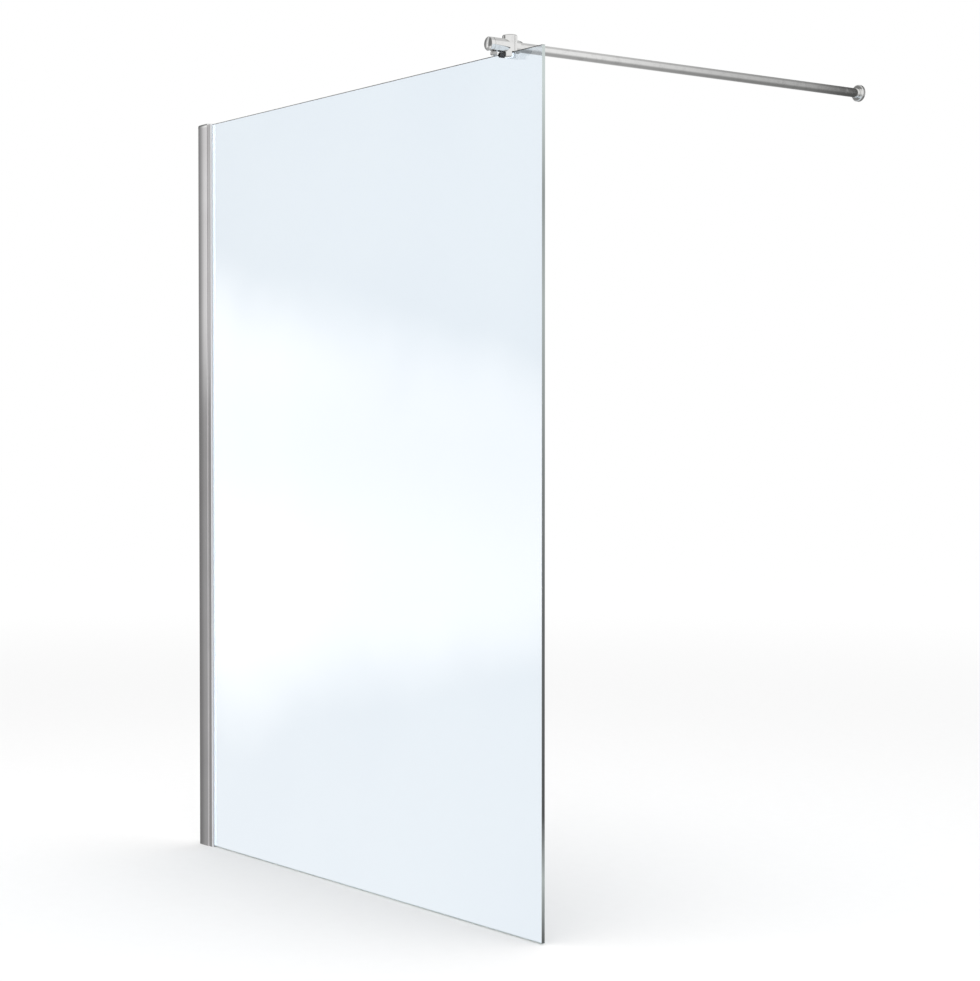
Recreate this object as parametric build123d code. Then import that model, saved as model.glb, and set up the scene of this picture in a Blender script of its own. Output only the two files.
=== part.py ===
from build123d import *
import math
import os

# Walk-in shower screen: a fixed glass panel held in a wall channel, steadied by a round
# bar that runs from a clamp on the glass's top edge to the opposite wall.
# The wall is the plane X = 0, the tray is Z = 0 and Y = 0 is the middle of the glass.
# The bar runs along +Y. All sizes are in millimetres.

# Glass panel
panel_reach = 1480.0        # wall to the free edge, with the adjustment at its middle
glass_top = 1900.0
glass_thickness = 8.0
glass_arris = 0.8
glass_lift = 2.0            # the setting block keeps the glass off the tray
glass_bite = 14.0           # depth of glass held in the glass channel
glass_edge_gap = 0.5        # behind the hidden edge of the glass

# Glass channel, an extrusion that slides in the wall channel
gasket_thickness = 4.2
holder_wall = 1.6
holder_web = 1.6
holder_corner = 0.6
adjust_travel = 10.0        # each way along X
screw_head_space = 4.0      # left for the heads of the wall screws

# Gaskets
gasket_lip_depth = 3.0
gasket_lip_cover = 1.2
gasket_edge = 1.3
gasket_back_gap = 1.0

# Wall channel
channel_depth = 46.0
channel_web = 2.0
channel_wall = 1.6
channel_crown = 1.0         # how far its long faces bulge at the middle
channel_corner = 0.6
slide_gap = 0.35            # between the two channels on each side
wall_screw_count = 4
wall_screw_inset = 80.0
wall_hole_radius = 2.5

# Cap on the wall channel
cap_rise = 4.0              # above the top of the glass
cap_skirt = 6.0             # below it, where the wall channel ends
cap_round = 6.0             # along its two long top edges
cap_relief = 0.4            # clears the sliding panel underneath
cap_leg_length = 16.0
cap_leg_thickness = 3.0
cap_leg_width = 14.0
cap_leg_gap = 0.1

# Adjusting screws, nuts and covers
adjuster_count = 3
adjuster_inset = 150.0
adjuster_radius = 2.0
adjuster_hole_gap = 0.25
adjuster_slot_gap = 0.4
adjuster_head_radius = 3.8
adjuster_head_height = 2.6
adjuster_socket = 1.3       # across-corners radius of the hexagon socket
adjuster_socket_depth = 1.4
adjuster_tip = 0.5          # how far the screw stands out of its nut
nut_width = 7.0
nut_thickness = 2.2
nut_face_gap = 0.3
nut_end_gap = 0.5
thread_gap = 0.05
spot_depth = 0.05
cover_gap = 0.15
cover_wall = 0.9
cover_round = 1.0
cover_clearance = 0.9

# Support bar
bar_radius = 11.0
bar_wall = 1.2
bar_setback = 119.0         # bar axis to the free edge of the glass
bar_rise = 13.2             # bar axis above the top of the glass
bar_span = 1060.0           # middle of the glass to the opposite wall
bar_tail = 50.0             # length of bar behind the middle of the glass
bar_gap = 0.35              # around the bar in the clamp

# Glass clamp
post_radius = 16.5
post_above = 24.0
post_below = 25.0
post_edge = 3.2
barrel_radius = 15.0
barrel_reach = 48.0
boss_reach = 19.0
neck_radius = 13.2
neck_length = 5.0
slot_top_gap = 0.5
pad_thickness = 1.5
pad_gap = 0.3
pad_width = 24.0
pad_height = 10.0
pad_foot_gap = 0.2

# Cap on the clamp's barrel
end_cap_groove = 1.2
end_cap_length = 8.8
end_cap_dome = 1.5
end_cap_face = 3.0
end_cap_edge = 0.8
neck_gap = 0.1

# Guide bush and collar where the bar leaves the clamp
bush_start = 6.0
bush_wall = 1.14
bush_running_gap = 0.06
bush_fit = 0.05
collar_length = 7.6
collar_tip_radius = 13.6
collar_lip = 1.0
collar_lip_gap = 0.2

# Clamp screw, which presses the front pad on the glass
clamp_screw_radius = 2.5
clamp_head_radius = 5.75
clamp_head_length = 12.8
clamp_head_edge = 0.8
clamp_head_gap = 0.3        # below the barrel
clamp_socket = 2.9
clamp_socket_depth = 4.0
spot_gap = 0.2

# Lock screw under the barrel, which holds the bar
lock_reach = 42.5           # middle of the glass to the screw's axis
lock_radius = 3.0
lock_head_radius = 7.5
lock_head_length = 8.0
lock_head_edge = 1.2
lock_stand = 0.5            # head below the barrel
lock_socket = 2.9
lock_socket_depth = 4.0

# Wall flange of the bar
flange_radius = 17.5
flange_thickness = 4.0
flange_hole_radius = 2.75
spigot_length = 18.0
spigot_gap = 0.1
spigot_wall = 3.0
spigot_edge = 0.6
grub_radius = 2.0
grub_length = 3.6
grub_recess = 0.2
grub_reach = 13.0           # wall to the screw's axis
grub_socket = 1.15
grub_socket_depth = 1.6

# Rosette that covers the flange
rosette_wall = 1.6
rosette_depth = 8.2
rosette_round = 2.2
rosette_wall_gap = 0.2
rosette_flange_gap = 0.9
rosette_hub_wall = 2.65
rosette_hub_gap = 0.4
ring_radius = 0.8
ring_running_gap = 0.06
ring_seat_gap = 0.05

# Sizes that follow from those above
cut_over = 1.0              # how far a cutter runs past the face it opens
glass_half = glass_thickness / 2
pocket_half = glass_half + gasket_thickness
holder_half = pocket_half + holder_wall
inner_half = holder_half + slide_gap
channel_half = inner_half + channel_wall
channel_height = glass_top
wall_channel_top = glass_top - cap_skirt
holder_back = channel_web + screw_head_space + adjust_travel
chamber_start = holder_back + holder_web
chamber_end = chamber_start + nut_width + 2 * (adjust_travel + nut_end_gap)
pocket_start = chamber_end + holder_web
glass_start = pocket_start + glass_edge_gap
holder_mouth = glass_start + glass_bite
adjuster_x = (chamber_start + chamber_end) / 2
cover_inner_radius = adjuster_head_radius + cover_clearance
cover_radius = cover_inner_radius + cover_wall
spot_radius = cover_radius + spot_gap
bar_x = panel_reach - bar_setback
bar_z = glass_top + bar_rise
bar_bore = bar_radius - bar_wall
sleeve_radius = bar_radius + bar_gap
slot_half = glass_half + pad_gap + pad_thickness
bush_inner = bar_radius + bush_running_gap
bush_outer = bush_inner + bush_wall
bush_seat = bush_outer + bush_fit
bush_end = boss_reach + collar_length - collar_lip - collar_lip_gap
clamp_screw_z = bar_z - barrel_radius - clamp_head_gap - clamp_head_radius
clamp_seat_y = math.sqrt(post_radius**2 - (clamp_head_radius + spot_gap) ** 2) - spot_gap
flange_face = bar_span - flange_thickness
spigot_radius = bar_bore - spigot_gap
rosette_back = bar_span - rosette_wall_gap
rosette_front = rosette_back - rosette_depth
rosette_inner = flange_radius + rosette_flange_gap
rosette_radius = rosette_inner + rosette_wall
ring_middle = bar_radius + ring_running_gap + ring_radius
ring_y = rosette_front + rosette_wall + ring_radius
to_x = (1, 0, 0)
to_y = (0, 1, 0)
to_minus_y = (0, -1, 0)
to_minus_z = (0, 0, -1)
from_base = (Align.CENTER, Align.CENTER, Align.MIN)


# A cylinder from a start point along a direction
def rod(start, direction, length, radius):
    return Plane(origin=start, z_dir=direction) * Cylinder(radius, length, align=from_base)


# A box between two limits on each axis
def block(x_limits, y_limits, z_limits):
    limits = (x_limits, y_limits, z_limits)
    middle = [(low + high) / 2 for low, high in limits]
    size = [high - low for low, high in limits]
    return Pos(*middle) * Box(*size)


# A closed profile of radius against length, spun about an axis
def turned(edges, start, direction):
    profile = Plane.XZ * make_face(edges)
    return Plane(origin=start, z_dir=direction) * revolve(profile, Axis.Z)


# A hexagon socket sunk from a start point along a direction
def socket(start, direction, length, radius):
    hexagon = extrude(RegularPolygon(radius, 6), amount=length)
    return Plane(origin=start, z_dir=direction) * hexagon


# Heights spread evenly between two insets from the ends of the channel
def heights(count, inset):
    step = (channel_height - 2 * inset) / (count - 1)
    return [inset + step * i for i in range(count)]


# How far the crowned face of the wall channel stands out at a given depth
def crowned_face(x):
    half_depth = channel_depth / 2
    arc_radius = (half_depth**2 + channel_crown**2) / (2 * channel_crown)
    rise = math.sqrt(arc_radius**2 - (x - half_depth) ** 2) - arc_radius + channel_crown
    return channel_half + rise


spot_y = crowned_face(adjuster_x + spot_radius) - spot_depth


# The wall channel seen from above, with crowned long faces
def channel_outline():
    middle = channel_depth / 2
    bulge = channel_half + channel_crown
    front = ThreePointArc((0, -channel_half), (middle, -bulge), (channel_depth, -channel_half))
    mouth = Line((channel_depth, -channel_half), (channel_depth, channel_half))
    back = ThreePointArc((channel_depth, channel_half), (middle, bulge), (0, channel_half))
    wall = Line((0, channel_half), (0, -channel_half))
    return make_face([front, mouth, back, wall])


def make_wall_channel():
    outline = channel_outline()
    outline = fillet(outline.vertices(), min(channel_corner, channel_wall * 0.4))
    part = extrude(outline, amount=wall_channel_top)
    hollow_x = (channel_web, channel_depth + cut_over)
    part -= block(hollow_x, (-inner_half, inner_half), (-cut_over, wall_channel_top + cut_over))
    for z in heights(wall_screw_count, wall_screw_inset):
        part -= rod((-cut_over, 0, z), to_x, channel_web + 2 * cut_over, wall_hole_radius)
    hole_radius = adjuster_radius + adjuster_hole_gap
    for z in heights(adjuster_count, adjuster_inset):
        part -= rod((adjuster_x, spot_y, z), to_y, spot_radius, spot_radius)
        part -= rod((adjuster_x, 0, z), to_y, spot_y + cut_over, hole_radius)
    return part


# A domed cap with a skirt, and a leg that springs into the channel
def make_channel_cap():
    height = cap_skirt + cap_rise
    part = Pos(0, 0, wall_channel_top) * extrude(channel_outline(), amount=height)
    long_edges = part.faces().sort_by(Axis.Z)[-1].edges().sort_by(Axis.Y)
    part = fillet([long_edges[0], long_edges[-1]], min(cap_round, height * 0.8, channel_half * 0.7))
    relief_x = (channel_web, channel_depth + cut_over)
    relief_z = (wall_channel_top - cut_over, glass_top + cap_relief)
    part -= block(relief_x, (-inner_half, inner_half), relief_z)
    leg_start = channel_web + cap_leg_gap
    leg_x = (leg_start, leg_start + cap_leg_thickness)
    leg_z = (wall_channel_top - cap_leg_length, glass_top + cap_relief)
    part += block(leg_x, (-cap_leg_width / 2, cap_leg_width / 2), leg_z)
    return part


def make_glass_channel():
    corner = min(holder_corner, holder_wall * 0.4)
    sides = (-holder_half, holder_half)
    part = block((holder_back, holder_mouth), sides, (0, channel_height))
    part = fillet(part.edges().filter_by(Axis.Z), corner)
    full_height = (-cut_over, channel_height + cut_over)
    part -= block((chamber_start, chamber_end), (-pocket_half, pocket_half), full_height)
    pocket_x = (pocket_start, holder_mouth + cut_over)
    part -= block(pocket_x, (-pocket_half, pocket_half), full_height)
    slot_radius = adjuster_radius + adjuster_slot_gap
    slot = SlotCenterToCenter(2 * adjust_travel, 2 * slot_radius)
    for z in heights(adjuster_count, adjuster_inset):
        cutter = extrude(Plane((adjuster_x, 0, z), x_dir=to_x, z_dir=to_y) * slot, amount=inner_half)
        part -= cutter
    return part


# One gasket on each face of the glass, with a lip over the channel's edge
def make_gasket(side):
    body_x = (pocket_start + gasket_back_gap, holder_mouth)
    lip_x = (holder_mouth, holder_mouth + gasket_lip_depth)
    body_y = sorted((side * glass_half, side * pocket_half))
    lip_y = sorted((side * glass_half, side * (pocket_half + gasket_lip_cover)))
    part = block(body_x, body_y, (0, channel_height))
    lip = block(lip_x, lip_y, (0, channel_height))
    outer_edges = lip.edges().filter_by(Axis.Z).group_by(Axis.X)[-1]
    lip = fillet(outer_edges, min(gasket_edge, gasket_lip_depth * 0.45))
    return part + lip


def make_glass_panel():
    part = block((glass_start, panel_reach), (-glass_half, glass_half), (glass_lift, glass_top))
    return chamfer(part.edges(), glass_arris)


def make_setting_block():
    return block((glass_start, holder_mouth), (-glass_half, glass_half), (0, glass_lift))


def make_adjuster_screws():
    screws = []
    nut_face = pocket_half - nut_face_gap
    tip_y = nut_face - nut_thickness - adjuster_tip
    for z in heights(adjuster_count, adjuster_inset):
        shank = rod((adjuster_x, tip_y, z), to_y, spot_y - tip_y, adjuster_radius)
        head = rod((adjuster_x, spot_y, z), to_y, adjuster_head_height, adjuster_head_radius)
        head_top = head.faces().sort_by(Axis.Y)[-1]
        head = fillet(head_top.edges(), adjuster_head_height * 0.3)
        socket_start = (adjuster_x, spot_y + adjuster_head_height - adjuster_socket_depth, z)
        head -= socket(socket_start, to_y, adjuster_socket_depth + cut_over, adjuster_socket)
        screws.append(shank + head)
    return Compound(screws)


def make_adjuster_nuts():
    nuts = []
    half = nut_width / 2
    face = pocket_half - nut_face_gap
    for z in heights(adjuster_count, adjuster_inset):
        nut_x = (adjuster_x - half, adjuster_x + half)
        nut = block(nut_x, (face - nut_thickness, face), (z - half, z + half))
        nut -= rod((adjuster_x, 0, z), to_y, pocket_half, adjuster_radius + thread_gap)
        nuts.append(nut)
    return Compound(nuts)


def make_screw_covers():
    covers = []
    inner_height = adjuster_head_height + cover_gap
    for z in heights(adjuster_count, adjuster_inset):
        cover = rod((adjuster_x, spot_y, z), to_y, inner_height + cover_wall, cover_radius)
        cover = fillet(cover.faces().sort_by(Axis.Y)[-1].edges(), cover_round)
        cover -= rod((adjuster_x, spot_y - cut_over, z), to_y, inner_height + cut_over, cover_inner_radius)
        covers.append(cover)
    return Compound(covers)


# The clamp is an upright post over the glass with the bar's barrel through it
def make_clamp_body():
    post = rod((bar_x, 0, bar_z - post_below), (0, 0, 1), post_below + post_above, post_radius)
    post = fillet(post.edges().filter_by(GeomType.CIRCLE), post_edge)
    barrel = rod((bar_x, -barrel_reach, bar_z), to_y, barrel_reach + boss_reach, barrel_radius)
    neck = rod((bar_x, -barrel_reach - neck_length, bar_z), to_y, neck_length, neck_radius)
    part = post + barrel + neck
    slot_x = (bar_x - post_radius - cut_over, bar_x + post_radius + cut_over)
    slot_z = (bar_z - post_below - cut_over, glass_top + slot_top_gap)
    part -= block(slot_x, (-slot_half, slot_half), slot_z)
    bore_start = -barrel_reach - neck_length - cut_over
    part -= rod((bar_x, bore_start, bar_z), to_y, boss_reach + cut_over - bore_start, sleeve_radius)
    part -= rod((bar_x, bush_start, bar_z), to_y, boss_reach + cut_over - bush_start, bush_seat)
    part -= rod((bar_x, -clamp_seat_y, clamp_screw_z), to_minus_y, post_radius, clamp_head_radius + spot_gap)
    part -= rod((bar_x, 0, clamp_screw_z), to_minus_y, post_radius, clamp_screw_radius + thread_gap)
    part -= rod((bar_x, -lock_reach, bar_z), to_minus_z, barrel_radius + cut_over, lock_radius + thread_gap)
    return part


# A pad on one side of the glass, held in the clamp's slot
def make_clamp_pad(side):
    half = pad_width / 2
    pad_x = (bar_x - half, bar_x + half)
    pad_y = sorted((side * (glass_half + pad_gap), side * slot_half))
    pad_foot = bar_z - post_below + pad_foot_gap
    return block(pad_x, pad_y, (pad_foot, pad_foot + pad_height))


def make_clamp_screw():
    shank_length = clamp_seat_y - slot_half
    shank = rod((bar_x, -slot_half, clamp_screw_z), to_minus_y, shank_length, clamp_screw_radius)
    head = rod((bar_x, -clamp_seat_y, clamp_screw_z), to_minus_y, clamp_head_length, clamp_head_radius)
    end = head.faces().sort_by(Axis.Y)[0]
    head = fillet(end.edges(), clamp_head_edge)
    socket_y = -clamp_seat_y - clamp_head_length + clamp_socket_depth
    socket_start = (bar_x, socket_y, clamp_screw_z)
    head -= socket(socket_start, to_minus_y, clamp_socket_depth + cut_over, clamp_socket)
    return shank + head


def make_lock_screw():
    tip_z = bar_z - sleeve_radius
    head_z = bar_z - barrel_radius - lock_stand
    shank = rod((bar_x, -lock_reach, tip_z), to_minus_z, tip_z - head_z, lock_radius)
    head = rod((bar_x, -lock_reach, head_z), to_minus_z, lock_head_length, lock_head_radius)
    head = fillet(head.edges().filter_by(GeomType.CIRCLE), lock_head_edge)
    socket_start = (bar_x, -lock_reach, head_z - lock_head_length + lock_socket_depth)
    head -= socket(socket_start, to_minus_z, lock_socket_depth + cut_over, lock_socket)
    return shank + head


# The barrel's cap screws over the neck, with a groove left between them
def make_end_cap():
    length = end_cap_groove + end_cap_length
    neck_depth = neck_length + neck_gap
    hollow_depth = length - end_cap_face
    edge = end_cap_edge
    walls = Polyline(
        (0, hollow_depth),
        (sleeve_radius, hollow_depth),
        (sleeve_radius, neck_depth),
        (neck_radius + neck_gap, neck_depth),
        (neck_radius + neck_gap, end_cap_groove),
        (barrel_radius, end_cap_groove),
        (barrel_radius, length - edge),
        (barrel_radius - edge, length),
    )
    dome = TangentArc((0, length + end_cap_dome), (barrel_radius - edge, length), tangent=(1, 0))
    middle = Line((0, length + end_cap_dome), (0, hollow_depth))
    return turned(walls.edges() + [dome, middle], (bar_x, -barrel_reach, bar_z), to_minus_y)


def make_bush():
    part = rod((bar_x, bush_start, bar_z), to_y, bush_end - bush_start, bush_outer)
    part -= rod((bar_x, bush_start - cut_over, bar_z), to_y, bush_end + 2 * cut_over, bush_inner)
    return part


def make_collar():
    start = (bar_x, boss_reach, bar_z)
    cone = Cone(barrel_radius, collar_tip_radius, collar_length, align=from_base)
    part = Plane(origin=start, z_dir=to_y) * cone
    part -= rod(start, to_y, collar_length - collar_lip, bush_seat)
    part -= rod(start, to_y, collar_length + cut_over, sleeve_radius)
    return part


def make_support_bar():
    length = bar_tail + flange_face
    part = rod((bar_x, -bar_tail, bar_z), to_y, length, bar_radius)
    part -= rod((bar_x, -bar_tail - cut_over, bar_z), to_y, length + 2 * cut_over, bar_bore)
    grub_y = bar_span - grub_reach
    part -= rod((bar_x, grub_y, bar_z), to_minus_z, bar_radius + cut_over, grub_radius + thread_gap)
    return part


def make_flange_base():
    part = rod((bar_x, flange_face, bar_z), to_y, flange_thickness, flange_radius)
    part = fillet(part.faces().sort_by(Axis.Y)[0].edges(), spigot_edge)
    spigot = rod((bar_x, flange_face, bar_z), to_minus_y, spigot_length, spigot_radius)
    spigot = chamfer(spigot.faces().sort_by(Axis.Y)[0].edges(), spigot_edge)
    part += spigot
    cup_radius = spigot_radius - spigot_wall
    part -= rod((bar_x, flange_face, bar_z), to_minus_y, spigot_length + cut_over, cup_radius)
    hole_length = flange_thickness + 2 * cut_over
    part -= rod((bar_x, bar_span + cut_over, bar_z), to_minus_y, hole_length, flange_hole_radius)
    grub_y = bar_span - grub_reach
    part -= rod((bar_x, grub_y, bar_z), to_minus_z, bar_bore, grub_radius + thread_gap)
    return part


def make_grub_screw():
    outer = bar_z - bar_radius + grub_recess
    grub_y = bar_span - grub_reach
    part = rod((bar_x, grub_y, outer + grub_length), to_minus_z, grub_length, grub_radius)
    socket_start = (bar_x, grub_y, outer + grub_socket_depth)
    part -= socket(socket_start, to_minus_z, grub_socket_depth + cut_over, grub_socket)
    return part


# A cup over the flange, with a hub that slides on the bar
def make_rosette():
    front = (bar_x, rosette_front, bar_z)
    part = rod(front, to_y, rosette_depth, rosette_radius)
    part = fillet(part.faces().sort_by(Axis.Y)[0].edges(), min(rosette_round, rosette_wall * 1.4))
    cavity_y = rosette_front + rosette_wall
    cavity = rod((bar_x, cavity_y, bar_z), to_y, rosette_depth, rosette_inner)
    hub_length = flange_face - rosette_hub_gap - cavity_y
    cavity -= rod((bar_x, cavity_y, bar_z), to_y, hub_length, sleeve_radius + rosette_hub_wall)
    part -= cavity
    part -= rod((bar_x, rosette_front - cut_over, bar_z), to_y, rosette_depth, sleeve_radius)
    groove_half = ring_radius + ring_seat_gap
    groove_radius = ring_middle + groove_half
    part -= rod((bar_x, ring_y - groove_half, bar_z), to_y, 2 * groove_half, groove_radius)
    return part


def make_ring():
    return Plane(origin=(bar_x, ring_y, bar_z), z_dir=to_y) * Torus(ring_middle, ring_radius)


nodes = {
    "wall_channel": make_wall_channel(),
    "channel_top_cap": make_channel_cap(),
    "adjuster_screws": make_adjuster_screws(),
    "adjuster_nuts": make_adjuster_nuts(),
    "screw_covers": make_screw_covers(),
    "glass_channel": make_glass_channel(),
    "front_gasket": make_gasket(-1),
    "rear_gasket": make_gasket(1),
    "glass_panel": make_glass_panel(),
    "setting_block": make_setting_block(),
    "clamp_body": make_clamp_body(),
    "clamp_front_pad": make_clamp_pad(-1),
    "clamp_back_pad": make_clamp_pad(1),
    "clamp_screw": make_clamp_screw(),
    "bar_lock_screw": make_lock_screw(),
    "barrel_end_cap": make_end_cap(),
    "bar_bush": make_bush(),
    "bar_collar": make_collar(),
    "support_bar": make_support_bar(),
    "flange_base": make_flange_base(),
    "flange_lock_screw": make_grub_screw(),
    "flange_rosette": make_rosette(),
    "rosette_ring": make_ring(),
}

os.makedirs("parts", exist_ok=True)
for name, shape in nodes.items():
    export_step(shape, f"parts/{name}.step")
    print(name, round(shape.volume, 1))
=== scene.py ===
import math

import bmesh
import bpy
from mathutils import Euler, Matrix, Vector


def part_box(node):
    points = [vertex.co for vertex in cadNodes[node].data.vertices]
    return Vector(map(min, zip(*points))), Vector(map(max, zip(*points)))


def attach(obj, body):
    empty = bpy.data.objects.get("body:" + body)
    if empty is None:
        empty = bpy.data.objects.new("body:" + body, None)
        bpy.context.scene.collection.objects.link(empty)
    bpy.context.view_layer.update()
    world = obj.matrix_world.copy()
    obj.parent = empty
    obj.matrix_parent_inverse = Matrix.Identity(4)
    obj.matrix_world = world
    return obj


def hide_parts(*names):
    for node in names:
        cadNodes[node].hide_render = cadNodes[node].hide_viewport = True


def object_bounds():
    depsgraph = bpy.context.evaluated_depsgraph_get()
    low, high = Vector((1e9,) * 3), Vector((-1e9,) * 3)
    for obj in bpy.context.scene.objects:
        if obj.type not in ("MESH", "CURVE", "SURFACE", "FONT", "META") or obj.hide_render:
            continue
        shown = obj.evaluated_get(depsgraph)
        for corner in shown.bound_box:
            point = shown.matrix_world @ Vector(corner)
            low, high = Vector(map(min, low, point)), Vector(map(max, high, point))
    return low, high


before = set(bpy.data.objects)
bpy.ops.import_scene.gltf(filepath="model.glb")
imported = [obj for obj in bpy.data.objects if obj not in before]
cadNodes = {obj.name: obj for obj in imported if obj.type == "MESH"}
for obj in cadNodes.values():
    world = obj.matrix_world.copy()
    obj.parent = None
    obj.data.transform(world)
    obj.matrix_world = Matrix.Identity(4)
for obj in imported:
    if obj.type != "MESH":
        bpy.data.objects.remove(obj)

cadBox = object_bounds()
scene = bpy.context.scene


# Shader maths: a Signal is a socket that can be used in a Python expression

class Signal:
    def __init__(self, tree, socket):
        self.tree = tree
        self.socket = socket

    def operate(self, operation, *values):
        inputs = dict(enumerate(values))
        return self.tree.node("ShaderNodeMath", {"operation": operation}, inputs)

    def __add__(self, other):
        return self.operate("ADD", self, other)

    def __sub__(self, other):
        return self.operate("SUBTRACT", self, other)

    def __mul__(self, other):
        return self.operate("MULTIPLY", self, other)

    def __truediv__(self, other):
        return self.operate("DIVIDE", self, other)

    def __pow__(self, other):
        return self.operate("POWER", self, other)

    def __radd__(self, other):
        return self.operate("ADD", other, self)

    def __rsub__(self, other):
        return self.operate("SUBTRACT", other, self)

    def __rmul__(self, other):
        return self.operate("MULTIPLY", other, self)

    def __abs__(self):
        return self.operate("ABSOLUTE", self)

    def least(self, other):
        return self.operate("MINIMUM", self, other)

    def most(self, other):
        return self.operate("MAXIMUM", self, other)

    def fade(self, start, end):  # 0 at start, 1 at end, smooth between
        settings = {"interpolation_type": "SMOOTHSTEP"}
        inputs = {"Value": self, "From Min": start, "From Max": end}
        return self.tree.node("ShaderNodeMapRange", settings, inputs)


class Tree:
    def __init__(self, owner):
        owner.use_nodes = True
        self.nodes = owner.node_tree.nodes
        self.links = owner.node_tree.links
        self.nodes.clear()

    def node(self, kind, settings=None, inputs=None, output=0):
        made = self.nodes.new(kind)
        for name, value in (settings or {}).items():
            if name == "stops":
                self.setStops(made.color_ramp, value)
            else:
                setattr(made, name, value)
        for name, value in (inputs or {}).items():
            if isinstance(value, Signal):
                self.links.new(value.socket, made.inputs[name])
            else:
                made.inputs[name].default_value = value
        return Signal(self, made.outputs[output]) if made.outputs else None

    def setStops(self, ramp, stops):
        while len(ramp.elements) < len(stops):
            ramp.elements.new(0.5)
        for element, (place, colour) in zip(ramp.elements, stops):
            element.position = place
            element.color = (*colour, 1)

    def place(self):  # object coordinates in metres
        return self.node("ShaderNodeTexCoord", output="Object")

    def axes(self, vector, wanted="XYZ"):
        parts = self.node("ShaderNodeSeparateXYZ", inputs={"Vector": vector})
        outputs = parts.socket.node.outputs
        return [Signal(self, outputs[axis]) for axis in wanted]

    def noise(self, vector, scale, detail=2.0, roughness=0.5):
        inputs = {"Vector": vector, "Scale": scale, "Detail": detail, "Roughness": roughness}
        return self.node("ShaderNodeTexNoise", inputs=inputs)

    def streaks(self, vector, scales, detail=3.0, roughness=0.5):  # noise with a scale for each axis
        stretched = self.node("ShaderNodeMapping", inputs={"Vector": vector, "Scale": scales})
        return self.noise(stretched, 1.0, detail, roughness)

    def ramp(self, factor, stops):
        return self.node("ShaderNodeValToRGB", {"stops": stops}, {"Fac": factor})

    def mixed(self, factor, first, second):
        inputs = {0: factor, 6: padded(first), 7: padded(second)}
        return self.node("ShaderNodeMix", {"data_type": "RGBA"}, inputs, output=2)

    def bump(self, height, strength, distance):
        inputs = {"Height": height, "Strength": strength, "Distance": distance}
        return self.node("ShaderNodeBump", inputs=inputs)


def padded(colour):
    return colour if isinstance(colour, Signal) else (*colour, 1)


def blended(share, first, second):
    return first * share + second * (1 - share)


def newFinish(name):
    material = bpy.data.materials.new(name)
    return material, Tree(material)


def closeFinish(tree, inputs):
    surface = tree.node("ShaderNodeBsdfPrincipled", inputs=inputs)
    tree.node("ShaderNodeOutputMaterial", inputs={"Surface": surface})


# Every finish has its pattern scales in waves per metre, its edges as the noise values between
# which a pattern fades in, and its relief as the strength and depth of the bump.

# Bright anodised aluminium with the fine upright lines of a drawn extrusion

aluminiumLook = {
    "pale": (0.83, 0.82, 0.825),
    "deep": (0.72, 0.705, 0.71),
    "roughness": 0.07,
    "lineRoughness": 0.07,
    "lines": (1500, 1500, 2.2),
    "lineShare": 0.6,           # the rest of the pattern is clouds
    "clouds": 7.0,
    "shadeEdge": (0.35, 0.68),
    "relief": (0.04, 0.0001),
}


def makeAluminium():
    look = aluminiumLook
    material, tree = newFinish("brightAluminium")
    place = tree.place()
    lines = tree.streaks(place, look["lines"], detail=4.0, roughness=0.65)
    clouds = tree.noise(place, look["clouds"], detail=3.0)
    shade = blended(look["lineShare"], lines, clouds).fade(*look["shadeEdge"])
    closeFinish(tree, {
        "Base Color": tree.mixed(shade, look["deep"], look["pale"]),
        "Metallic": 1.0,
        "Roughness": lines * look["lineRoughness"] + look["roughness"],
        "Normal": tree.bump(lines, *look["relief"]),
    })
    return material


# Polished chrome with faint smudges and the wipe marks of a cloth

chromeLook = {
    "clean": (0.88, 0.88, 0.87),
    "dull": (0.74, 0.74, 0.735),
    "roughness": 0.045,
    "satinRoughness": 0.12,     # of the rosette
    "markRoughness": 0.11,
    "smudges": 60.0,
    "smudgeEdge": (0.45, 0.75),
    "smudgeShare": 0.65,        # the rest of the marks is wipes
    "wipes": (900, 60, 900),
    "wipeEdge": (0.5, 0.8),
    "relief": (0.04, 0.00005),
}


def makeChrome(name, roughness):
    look = chromeLook
    material, tree = newFinish(name)
    place = tree.place()
    smudges = tree.noise(place, look["smudges"], detail=5.0, roughness=0.6).fade(*look["smudgeEdge"])
    wipes = tree.streaks(place, look["wipes"], roughness=0.6).fade(*look["wipeEdge"])
    marks = blended(look["smudgeShare"], smudges, wipes).least(1.0)
    closeFinish(tree, {
        "Base Color": tree.mixed(marks, look["clean"], look["dull"]),
        "Metallic": 1.0,
        "Roughness": marks * look["markRoughness"] + roughness,
        "Normal": tree.bump(wipes, *look["relief"]),
    })
    return material


# Turned stainless steel

stainlessLook = {
    "pale": (0.66, 0.66, 0.65),
    "deep": (0.46, 0.46, 0.46),
    "roughness": 0.24,
    "grainRoughness": 0.2,
    "grain": 1400.0,
    "grainShare": 0.5,          # the rest of the pattern is stains
    "stains": 120.0,
    "shadeEdge": (0.35, 0.65),
    "relief": (0.1, 0.0001),
}


def makeStainless():
    look = stainlessLook
    material, tree = newFinish("turnedStainless")
    place = tree.place()
    grain = tree.noise(place, look["grain"], detail=4.0, roughness=0.7)
    stains = tree.noise(place, look["stains"], detail=3.0)
    shade = blended(look["grainShare"], grain, stains).fade(*look["shadeEdge"])
    closeFinish(tree, {
        "Base Color": tree.mixed(shade, look["deep"], look["pale"]),
        "Metallic": 1.0,
        "Roughness": grain * look["grainRoughness"] + look["roughness"],
        "Normal": tree.bump(grain, *look["relief"]),
    })
    return material


# Black oxide on the socket screws, rubbed to steel in places

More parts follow.
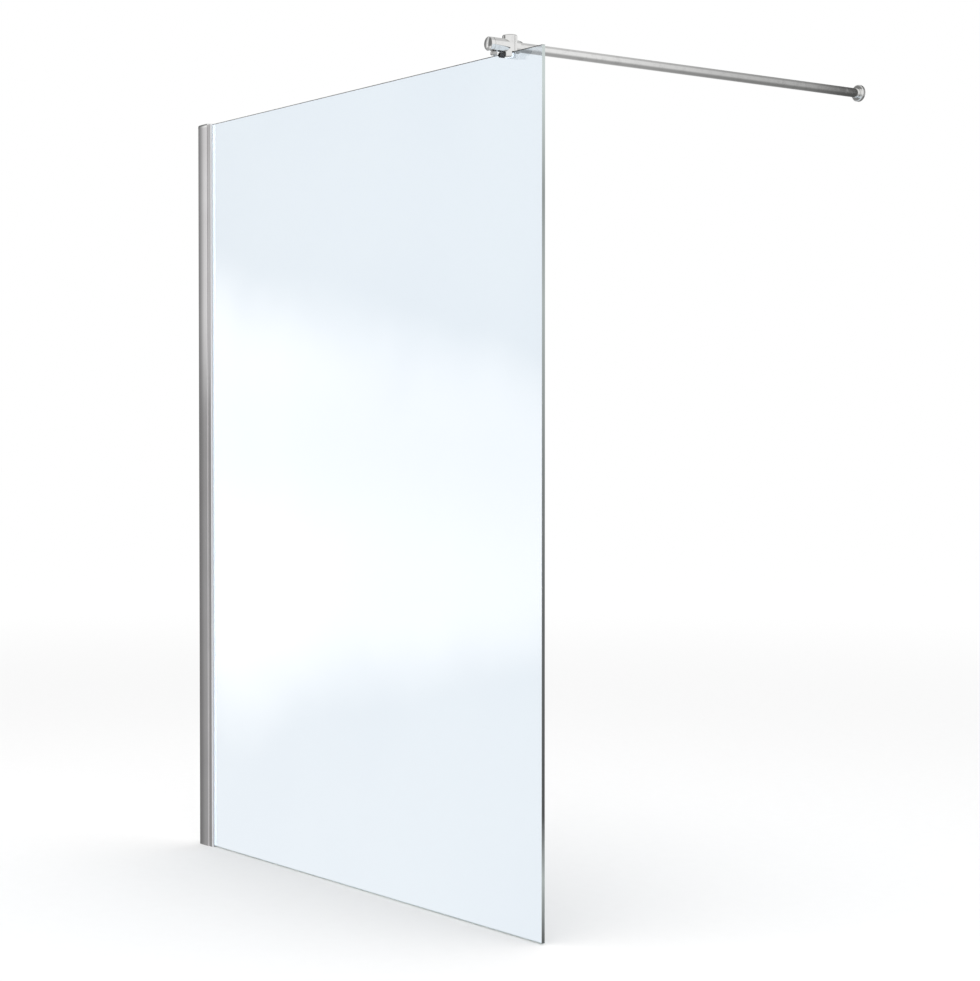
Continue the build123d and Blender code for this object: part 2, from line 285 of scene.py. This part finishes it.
darkSteelLook = {
    "oxide": (0.1, 0.1, 0.104),
    "rubbed": (0.26, 0.26, 0.26),
    "roughness": 0.3,
    "grainRoughness": 0.2,
    "rubRoughness": 0.05,
    "grain": 1800.0,
    "rub": 260.0,
    "rubEdge": (0.52, 0.78),
    "relief": (0.15, 0.0001),
}


def makeDarkSteel():
    look = darkSteelLook
    material, tree = newFinish("darkSteel")
    place = tree.place()
    rub = tree.noise(place, look["rub"], detail=5.0, roughness=0.65).fade(*look["rubEdge"])
    grain = tree.noise(place, look["grain"], detail=3.0, roughness=0.7)
    closeFinish(tree, {
        "Base Color": tree.mixed(rub, look["oxide"], look["rubbed"]),
        "Metallic": 1.0,
        "Roughness": grain * look["grainRoughness"] + rub * look["rubRoughness"] + look["roughness"],
        "Normal": tree.bump(grain, *look["relief"]),
    })
    return material


# Clear soft vinyl of the gaskets and the clamp's pads

vinylLook = {
    "clear": (0.93, 0.94, 0.965),
    "milky": (0.87, 0.885, 0.91),
    "roughness": 0.3,
    "hazeRoughness": 0.2,
    "haze": (400, 400, 9),
    "hazeEdge": (0.3, 0.7),
    "transmission": 0.2,
    "refraction": 1.45,
    "relief": (0.1, 0.0001),
}


def makeVinyl():
    look = vinylLook
    material, tree = newFinish("clearVinyl")
    haze = tree.streaks(tree.place(), look["haze"]).fade(*look["hazeEdge"])
    closeFinish(tree, {
        "Base Color": tree.mixed(haze, look["clear"], look["milky"]),
        "Roughness": haze * look["hazeRoughness"] + look["roughness"],
        "Transmission Weight": look["transmission"],
        "IOR": look["refraction"],
        "Normal": tree.bump(haze, *look["relief"]),
    })
    return material


# Grey rubber of the setting block and the rosette's ring

rubberLook = {
    "pale": (0.16, 0.165, 0.17),
    "deep": (0.075, 0.078, 0.082),
    "roughness": 0.62,
    "dustRoughness": 0.25,
    "dust": 180.0,
    "dustEdge": (0.35, 0.7),
    "pores": 2600.0,
    "relief": (0.3, 0.0001),
}


def makeRubber():
    look = rubberLook
    material, tree = newFinish("greyRubber")
    place = tree.place()
    dust = tree.noise(place, look["dust"], detail=4.0, roughness=0.6)
    pores = tree.noise(place, look["pores"])
    closeFinish(tree, {
        "Base Color": tree.mixed(dust.fade(*look["dustEdge"]), look["deep"], look["pale"]),
        "Roughness": dust * look["dustRoughness"] + look["roughness"],
        "Normal": tree.bump(pores, *look["relief"]),
    })
    return material


# Natural nylon of the guide bush

nylonLook = {
    "pale": (0.86, 0.87, 0.81),
    "deep": (0.74, 0.74, 0.66),
    "roughness": 0.42,
    "flowRoughness": 0.2,
    "flow": (220, 60, 220),
    "flowEdge": (0.35, 0.7),
    "softness": 0.2,            # share of the light that scatters inside
    "softReach": (0.002, 0.002, 0.0015),
    "relief": (0.1, 0.0001),
}


def makeNylon():
    look = nylonLook
    material, tree = newFinish("naturalNylon")
    flow = tree.streaks(tree.place(), look["flow"])
    closeFinish(tree, {
        "Base Color": tree.mixed(flow.fade(*look["flowEdge"]), look["deep"], look["pale"]),
        "Roughness": flow * look["flowRoughness"] + look["roughness"],
        "Subsurface Weight": look["softness"],
        "Subsurface Radius": look["softReach"],
        "Normal": tree.bump(flow, *look["relief"]),
    })
    return material


# Clear toughened glass: its two faces, and its polished edges, which are grey green and carry painted
# light and shade

glassLook = {
    "tint": (0.735, 0.812, 0.882),
    "tintAlt": (0.75, 0.826, 0.892),
    "drift": 1.6,
    "driftEdge": (0.35, 0.65),
    "refraction": 1.5,
    "paintedEdgeShading": [             # share of the height, and the painted shade of the free edge there: light and dark stretches that stand in for reflected light
        (0.0, 0.07), (0.07, 0.38), (0.14, 0.05), (0.36, 0.1),
        (0.5, 0.17), (0.7, 0.38), (0.82, 0.27), (0.94, 0.57),
    ],
    "edgeCast": (0.94, 1.04, 1.02),
    # The top is given painted shade, nearly black, and the foot painted light
    "paintedTopShade": 0.014,
    "paintedFootShade": 0.8,
    "levelSpread": 0.1,         # how far the painted shades of the top and the foot drift
    "edgeRoughness": 0.12,
    "streaksAcross": 300,
    "streaksAlong": 14,
    "streakShift": 0.03,        # how far they shift the painted shades, as a share of the length
}


def makeGlassFace():
    look = glassLook
    material, tree = newFinish("clearGlass")
    drift = tree.noise(tree.place(), look["drift"]).fade(*look["driftEdge"])
    closeFinish(tree, {
        "Base Color": tree.mixed(drift, look["tint"], look["tintAlt"]),
        "Roughness": 0.0,
        "Transmission Weight": 1.0,
        "IOR": look["refraction"],
    })
    return material


def makeGlassEdge(name, paintedShades, axis):  # axis is the one that the edge runs along, 0 for X
    look = glassLook
    material, tree = newFinish(name)
    place = tree.place()
    share = tree.axes(place)[axis] * (1 / cadBox[1][axis])
    scales = [look["streaksAcross"]] * 3
    scales[axis] = look["streaksAlong"]
    streaks = tree.streaks(place, scales)
    # The ramp paints light and shade into the edge's colour by height; only the grey green cast is the
    # glass's own colour
    stops = [(part, [shade * cast for cast in look["edgeCast"]]) for part, shade in paintedShades]
    closeFinish(tree, {
        "Base Color": tree.ramp(share + (streaks - 0.5) * look["streakShift"], stops),
        "Roughness": streaks * look["edgeRoughness"] + look["edgeRoughness"],
        "IOR": look["refraction"],
    })
    return material


def paintedLevelShades(shade):  # nearly the same painted shade all along the edge
    spread = glassLook["levelSpread"]
    return [(0.0, shade * (1 - spread)), (0.5, shade * (1 + spread)), (1.0, shade)]


finishes = {
    "aluminium": makeAluminium(),
    "chrome": makeChrome("chromePlating", chromeLook["roughness"]),
    "satinChrome": makeChrome("satinChrome", chromeLook["satinRoughness"]),
    "stainless": makeStainless(),
    "darkSteel": makeDarkSteel(),
    "vinyl": makeVinyl(),
    "rubber": makeRubber(),
    "nylon": makeNylon(),
    "glassFace": makeGlassFace(),
    # Three copies of one edge finish, each with its own painted shade: light and dark stretches on the
    # free edge, a dark top and a light foot
    "freeEdge": makeGlassEdge("freeGlassEdge", glassLook["paintedEdgeShading"], 2),
    "topEdge": makeGlassEdge("topGlassEdge", paintedLevelShades(glassLook["paintedTopShade"]), 0),
    "footEdge": makeGlassEdge("footGlassEdge", paintedLevelShades(glassLook["paintedFootShade"]), 0),
}
print("finishes made:", len(finishes))


# Modelling helpers

def selectOnly(piece):
    bpy.ops.object.select_all(action="DESELECT")
    piece.select_set(True)
    bpy.context.view_layer.objects.active = piece


def startPiece(name, addPrimitive, **settings):
    bpy.ops.object.select_all(action="DESELECT")
    addPrimitive(**settings)
    piece = bpy.context.object
    piece.name = name
    piece.data.name = name
    bpy.ops.object.transform_apply(location=True, rotation=True, scale=True)
    return piece


def editPiece(piece, mode="FACE"):
    selectOnly(piece)
    bpy.ops.object.mode_set(mode="EDIT")
    bpy.ops.mesh.select_mode(type=mode)
    bpy.ops.mesh.select_all(action="DESELECT")


def pick(piece, kind, wanted):  # in edit mode, selects the faces or edges that are wanted
    bpy.ops.mesh.select_all(action="DESELECT")
    mesh = bmesh.from_edit_mesh(piece.data)
    for element in getattr(mesh, kind):
        if wanted(element):
            element.select_set(True)
    bmesh.update_edit_mesh(piece.data)


def dress(piece, slotIndex, wanted):  # in edit mode, gives the wanted faces a finish
    pick(piece, "faces", wanted)
    piece.active_material_index = slotIndex
    bpy.ops.object.material_slot_assign()


def endEdit():
    bpy.ops.object.mode_set(mode="OBJECT")


def combine(piece, tool, operation):  # a boolean with another piece, which is used up
    selectOnly(piece)
    bpy.ops.object.modifier_add(type="BOOLEAN")
    modifier = piece.modifiers[-1]
    modifier.operation = operation
    modifier.object = tool
    bpy.ops.object.modifier_apply(modifier=modifier.name)
    selectOnly(tool)
    bpy.ops.object.delete()


def giveFinish(piece, *names):
    piece.data.materials.clear()
    for name in names:
        piece.data.materials.append(finishes[name])


# Glass pane with ground arrises. Its free edge, top and foot each have their own finish.

paneSizes = {
    "arris": 0.0008,
    "arrisSteps": 2,
    "skin": 0.00002,            # stands off the gaskets, so that no two faces lie in one plane
    "broad": 0.99,              # a face whose normal lies less than this along Y is an edge
    "level": 0.3,               # and one that lies more than this along Z is the top or the foot
}


def makePane():
    sizes = paneSizes
    low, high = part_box("glass_panel")
    middle = (low + high) / 2
    size = high - low - Vector((0, 2 * sizes["skin"], 0))
    pane = startPiece(
        "glassPane", bpy.ops.mesh.primitive_cube_add, size=1, location=middle, scale=size
    )
    giveFinish(pane, "glassFace", "freeEdge", "topEdge", "footEdge")
    editPiece(pane, "EDGE")
    bpy.ops.mesh.select_all(action="SELECT")
    bpy.ops.mesh.bevel(offset=sizes["arris"], segments=sizes["arrisSteps"], affect="EDGES")
    bpy.ops.mesh.select_mode(type="FACE")
    dress(pane, 1, lambda face: abs(face.normal.y) < sizes["broad"])
    dress(pane, 2, lambda face: face.normal.z > sizes["level"])
    dress(pane, 3, lambda face: face.normal.z < -sizes["level"])
    endEdit()
    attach(pane, "panel")
    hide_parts("glass_panel")
    return pane


glassPane = makePane()
print("glass pane made")


# Screws of the clamp: a knurled head with a hexagon socket on a plain shank. The head is at the
# low end of the screw's axis.

clampScrewSizes = {
    "turn": (-math.pi / 2, 0, 0),  # along Y, with its head on the -Y side
    "headRadius": 0.00573,
    "headLength": 0.0128,
    "ridges": 26,
    "ridgeDepth": 0.07,         # share of the radius
    "rim": 0.0008,
    "rimShare": 0.86,
    "shankRadius": 0.0025,
    "socketRadius": 0.0029,
    "socketDepth": 0.004,
}
lockScrewSizes = {
    "turn": (0, 0, 0),          # upright, with its head below
    "headRadius": 0.00748,
    "headLength": 0.008,
    "ridges": 34,
    "ridgeDepth": 0.05,
    "rim": 0.0012,
    "rimShare": 0.84,
    "shankRadius": 0.003,
    "socketRadius": 0.0029,
    "socketDepth": 0.004,
}
socketSides = 6
shankSides = 32
smoothAngle = math.radians(32)
headEnd = 0.9  # a face whose normal lies more than this along the screw is an end of the head


def makeScrew(name, node, sizes):
    low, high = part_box(node)
    turn = sizes["turn"]
    along = Euler(turn).to_matrix() @ Vector((0, 0, 1))
    sideways = Vector((1, 0, 0))
    upward = along.cross(sideways)
    length = (high - low).dot(along)
    foot = (low + high) / 2 - along * (length / 2)
    steps = 2 * sizes["ridges"]

    def squeeze(share):  # in edit mode, towards the screw's axis
        values = [1 + (share - 1) * (1 - abs(part)) for part in along]
        bpy.ops.transform.resize(value=values, center_override=foot)

    def isFlute(edge):
        first, second = (vert.co - foot for vert in edge.verts)
        offset = (first + second) / 2
        turnShare = math.atan2(offset.dot(upward), offset.dot(sideways)) / math.tau
        isLong = abs((first - second).dot(along)) > sizes["headLength"] / 2
        return isLong and round(turnShare * steps) % 2 == 0

    head = startPiece(
        name, bpy.ops.mesh.primitive_cylinder_add,
        vertices=steps, radius=sizes["headRadius"], depth=sizes["headLength"] - 2 * sizes["rim"],
        location=foot + along * (sizes["headLength"] / 2), rotation=turn,
    )
    editPiece(head)
    for end in (-1, 1):
        pick(head, "faces", lambda face: face.normal.dot(along) * end > headEnd)
        move = {"value": along * (sizes["rim"] * end)}
        bpy.ops.mesh.extrude_region_move(TRANSFORM_OT_translate=move)
        squeeze(sizes["rimShare"])
    bpy.ops.mesh.select_mode(type="EDGE")
    pick(head, "edges", isFlute)
    squeeze(1 - sizes["ridgeDepth"])
    endEdit()
    socket = startPiece(
        "socketCutter", bpy.ops.mesh.primitive_cylinder_add,
        vertices=socketSides, radius=sizes["socketRadius"], depth=2 * sizes["socketDepth"],
        location=foot, rotation=turn,
    )
    combine(head, socket, "DIFFERENCE")
    shankLength = length - sizes["headLength"] / 2
    shank = startPiece(
        "shank", bpy.ops.mesh.primitive_cylinder_add,
        vertices=shankSides, radius=sizes["shankRadius"], depth=shankLength,
        location=foot + along * (length - shankLength / 2), rotation=turn,
    )
    combine(head, shank, "UNION")
    selectOnly(head)
    bpy.ops.object.shade_smooth_by_angle(angle=smoothAngle)
    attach(head, "clamp")
    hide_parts(node)
    return head


clampScrew = makeScrew("clampScrew", "clamp_screw", clampScrewSizes)
giveFinish(clampScrew, "darkSteel")
lockScrew = makeScrew("lockScrew", "bar_lock_screw", lockScrewSizes)
giveFinish(lockScrew, "stainless")
print("clamp screws made")


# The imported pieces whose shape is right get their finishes

nodeFinishes = {
    "wall_channel": "aluminium",
    "channel_top_cap": "chrome",
    "adjuster_screws": "stainless",
    "adjuster_nuts": "stainless",
    "screw_covers": "chrome",
    "glass_channel": "aluminium",
    "front_gasket": "vinyl",
    "rear_gasket": "vinyl",
    "setting_block": "rubber",
    "clamp_body": "chrome",
    "clamp_front_pad": "vinyl",
    "clamp_back_pad": "vinyl",
    "barrel_end_cap": "chrome",
    "bar_bush": "nylon",
    "bar_collar": "chrome",
    "support_bar": "chrome",
    "flange_base": "stainless",
    "flange_lock_screw": "darkSteel",
    "flange_rosette": "satinChrome",
    "rosette_ring": "rubber",
}

for nodeName, finishName in nodeFinishes.items():
    for slot in cadNodes[nodeName].material_slots:
        slot.material = finishes[finishName]
print("packed pieces finished:", len(nodeFinishes))


# Floor, which turns as white as the studio far away, so that no horizon shows

floorSizes = {
    "radius": 90.0,
    "sides": 128,
    "colour": (0.92, 0.92, 0.92),
    "speckle": (0.9, 0.9, 0.9),
    "speckles": 30.0,
    "far": (1.0, 1.0, 1.0),
    "farFade": (2.5, 9.0),      # distances from the foot of the wall channel
    "roughness": 0.9,
}


def makeFloor():
    sizes = floorSizes
    bpy.ops.object.select_all(action="DESELECT")
    bpy.ops.mesh.primitive_circle_add(
        vertices=sizes["sides"], radius=sizes["radius"], fill_type="NGON"
    )
    floor = bpy.context.object
    floor.name = "studioFloor"
    material, tree = newFinish("paleFloor")
    place = tree.place()
    x, y = tree.axes(place, "XY")
    distance = (x * x + y * y) ** 0.5
    speckles = tree.noise(place, sizes["speckles"], detail=3.0)
    near = tree.mixed(speckles, sizes["colour"], sizes["speckle"])
    closeFinish(tree, {
        "Base Color": tree.mixed(distance.fade(*sizes["farFade"]), near, sizes["far"]),
        "Roughness": sizes["roughness"],
        "Specular IOR Level": 0.0,
    })
    floor.data.materials.append(material)
    floor.visible_glossy = False
    floor.visible_transmission = False
    return floor


# Studio light: white for the eye and for matt surfaces. What shines mirrors a grey room
# with a dark doorway beyond the bar and cards that draw the outlines of the metal.

studioLook = {
    "room": 0.9,
    "ceiling": 0.5,             # overhead
    "ceilingEdge": (0.62, 0.82),
    "lower": 0.4,               # far below the horizon
    "lowerEdge": (-0.75, -0.12),
    "doorShade": 0.06,          # around the heading of the bar
    "doorSlope": (0.6, 0.7),    # where the room starts to darken towards it
    "doorSlopeDepth": 0.5,
    "doorEdge": (0.688, 0.71),
    "doorFarEdge": (0.712, 0.74),
    "cardFront": (0.0, 0.2),    # keeps a card on its own side of the room
}
cards = [  # heading in degrees from +X, half width and softness, lowest and highest rise, rim, shade
    {"heading": 144, "half": 0.9, "soft": 0.12, "low": 0.27, "high": 2.0, "rim": 0.07, "shade": 0.62},
    {"heading": 209, "half": 0.32, "soft": 0.05, "low": -0.6, "high": 0.035, "rim": 0.02, "shade": 0.42},
    {"heading": 185, "half": 0.39, "soft": 0.15, "low": -0.6, "high": 0.6, "rim": 0.2, "shade": 0.18},
    {"heading": 236, "half": 0.26, "soft": 0.04, "low": 0.04, "high": 0.5, "rim": 0.03, "shade": 0.2},
]


def heading(degrees):
    turn = math.radians(degrees)
    return (math.cos(turn), math.sin(turn), 0)


def makeStudio():
    look = studioLook
    world = bpy.data.worlds.new("softStudio")
    scene.world = world
    world.cycles.sampling_method = "NONE"
    tree = Tree(world)
    direction = tree.node("ShaderNodeTexCoord", output="Generated")
    side, rise = tree.axes(direction, "YZ")

    def facing(degrees):
        inputs = {0: direction, 1: heading(degrees)}
        return tree.node("ShaderNodeVectorMath", {"operation": "DOT_PRODUCT"}, inputs, output="Value")

    def painted(glow, mask, shade):
        return glow * (1 - mask) + mask * shade

    def softEdge(signal, middle, softness):
        return signal.fade(middle - softness, middle + softness)

    glow = rise.fade(*look["lowerEdge"]) * (look["room"] - look["lower"]) + look["lower"]
    glow = painted(glow, rise.fade(*look["ceilingEdge"]), look["ceiling"])
    for card in cards:
        across = 1 - softEdge(abs(facing(card["heading"] + 90)), card["half"], card["soft"])
        above = softEdge(rise, card["low"], card["rim"])
        below = 1 - softEdge(rise, card["high"], card["rim"])
        mask = across * above * below * facing(card["heading"]).fade(*look["cardFront"])
        glow = painted(glow, mask, card["shade"])
    nearSide = 1 - side.fade(*look["doorFarEdge"])
    glow = glow * (1 - side.fade(*look["doorSlope"]) * nearSide * look["doorSlopeDepth"])
    glow = painted(glow, side.fade(*look["doorEdge"]) * nearSide, look["doorShade"])
    shines = tree.node("ShaderNodeLightPath", output="Is Glossy Ray")
    passes = Signal(tree, shines.socket.node.outputs["Is Transmission Ray"])
    mirrored = shines * (1 - passes)
    strength = glow * mirrored + (1 - mirrored)
    background = tree.node("ShaderNodeBackground", inputs={"Color": (1, 1, 1, 1), "Strength": strength})
    tree.node("ShaderNodeOutputWorld", inputs={"Surface": background})


# Lamps: one overhead for the soft shadow, a softbox that only the glass mirrors, with the
# pale band that lies across it, and a little light on the clear pieces behind the glass

overheadLook = {"power": 40.0, "size": 2.4, "place": (1.4, -0.6, 4.2)}
softboxLook = {
    "power": 185.0,
    "turn": (math.pi / 2, 0, 0),  # faces +Y, towards the glass
    "place": (-4.65, -3.5, 0.8),
    "size": (5.8, 6.4),
    "rim": 0.9,
    "colour": (1.0, 0.9, 0.82),
    "level": 0.5,
    "bandHeight": 0.75,
    "bandEnd": (-2.75, 0.5),    # where its right end is, and half its height there
    "bandGrowth": 0.17,         # how much that grows for each metre to the left
    "bandLeast": 0.2,           # and its least
    "bandEdge": (0.4, 2.0),     # in squared half heights
    "bandStrength": 1.35,
    "wisps": 1.1,
    "wispStrength": 1.1,
    "low": 0.42,                # the lower part
    "lowEdge": (0.4, 1.1),
}
glimmerLook = {
    "strength": 7.0,
    "turn": (1.45, 0, 0.55),
    "angle": math.radians(40),
    "receivers": ("rear_gasket", "clamp_front_pad", "clamp_back_pad"),
}


def addLamp(kind, name, energy, turn, *receivers):
    light = bpy.data.lights.new(name, kind)
    light.energy = energy
    lamp = bpy.data.objects.new(name, light)
    scene.collection.objects.link(lamp)
    lamp.rotation_euler = turn
    lamp.visible_camera = False
    if receivers:
        linked = bpy.data.collections.new(name + "Receivers")
        for receiver in receivers:
            linked.objects.link(receiver)
        lamp.light_linking.receiver_collection = linked
    return lamp


def makeOverhead():
    look = overheadLook
    overhead = addLamp("AREA", "overheadSoftbox", look["power"], (0, 0, 0))
    overhead.data.size = look["size"]
    overhead.location = look["place"]
    overhead.visible_glossy = False


def makeSoftbox(pane):
    look = softboxLook
    softbox = addLamp("AREA", "glassSoftbox", look["power"], look["turn"], pane)
    softbox.data.shape = "RECTANGLE"
    softbox.data.size, softbox.data.size_y = look["size"]
    softbox.location = look["place"]
    softbox.visible_transmission = False
    tree = Tree(softbox.data)
    place = tree.node("ShaderNodeNewGeometry", output="Position")
    along, height = tree.axes(place, "XZ")
    bandEnd, endHalf = look["bandEnd"]
    half = ((bandEnd - along) * look["bandGrowth"] + endHalf).most(look["bandLeast"])
    wisps = (tree.noise(place, look["wisps"]) - 0.5) * look["wispStrength"]
    spread = ((height - look["bandHeight"]) / half) ** 2 + wisps
    band = (1 - spread.fade(*look["bandEdge"])) * look["bandStrength"]
    low = (1 - height.fade(*look["lowEdge"])) * look["low"]
    strength = band + low + look["level"]
    middles = (look["place"][0], look["place"][2])
    for reach, middle, size in zip((along, height), middles, look["size"]):  # soft all round
        rim = abs(reach - middle).fade(size / 2 - look["rim"], size / 2)
        strength = strength * (1 - rim)
    inputs = {"Color": padded(look["colour"]), "Strength": strength}
    emission = tree.node("ShaderNodeEmission", inputs=inputs)
    tree.node("ShaderNodeOutputLight", inputs={"Surface": emission})


def makeGlimmer(floor):  # only the floor keeps it out
    look = glimmerLook
    receivers = [cadNodes[name] for name in look["receivers"]]
    glimmer = addLamp("SUN", "gasketFill", look["strength"], look["turn"], *receivers)
    glimmer.data.angle = look["angle"]
    blockers = bpy.data.collections.new("gasketFillBlockers")
    blockers.objects.link(floor)
    glimmer.light_linking.blocker_collection = blockers


# Camera, fitted to the edges of the glass, the channel and the bar in the photograph

cameraLook = {
    "place": (5.14278, -2.82268, 1.05463),
    "heading": 53.7809,
    "pitch": -1.1413,
    "focalPixels": 2192.011,
    "imageHeight": 981.0,
    "sensor": 36.0,
    "farthest": 200.0,
}


def makeCamera():
    look = cameraLook
    camera = bpy.data.cameras.new("photoCamera")
    camera.sensor_width = look["sensor"]
    camera.lens = look["sensor"] * look["focalPixels"] / look["imageHeight"]
    camera.clip_end = look["farthest"]
    holder = bpy.data.objects.new("photoCamera", camera)
    scene.collection.objects.link(holder)
    holder.location = look["place"]
    holder.rotation_euler = (math.radians(90 + look["pitch"]), 0, math.radians(look["heading"]))
    scene.camera = holder


makeStudio()
makeOverhead()
makeSoftbox(glassPane)
makeGlimmer(makeFloor())
makeCamera()
scene.view_settings.view_transform = "Standard"
print("studio made")
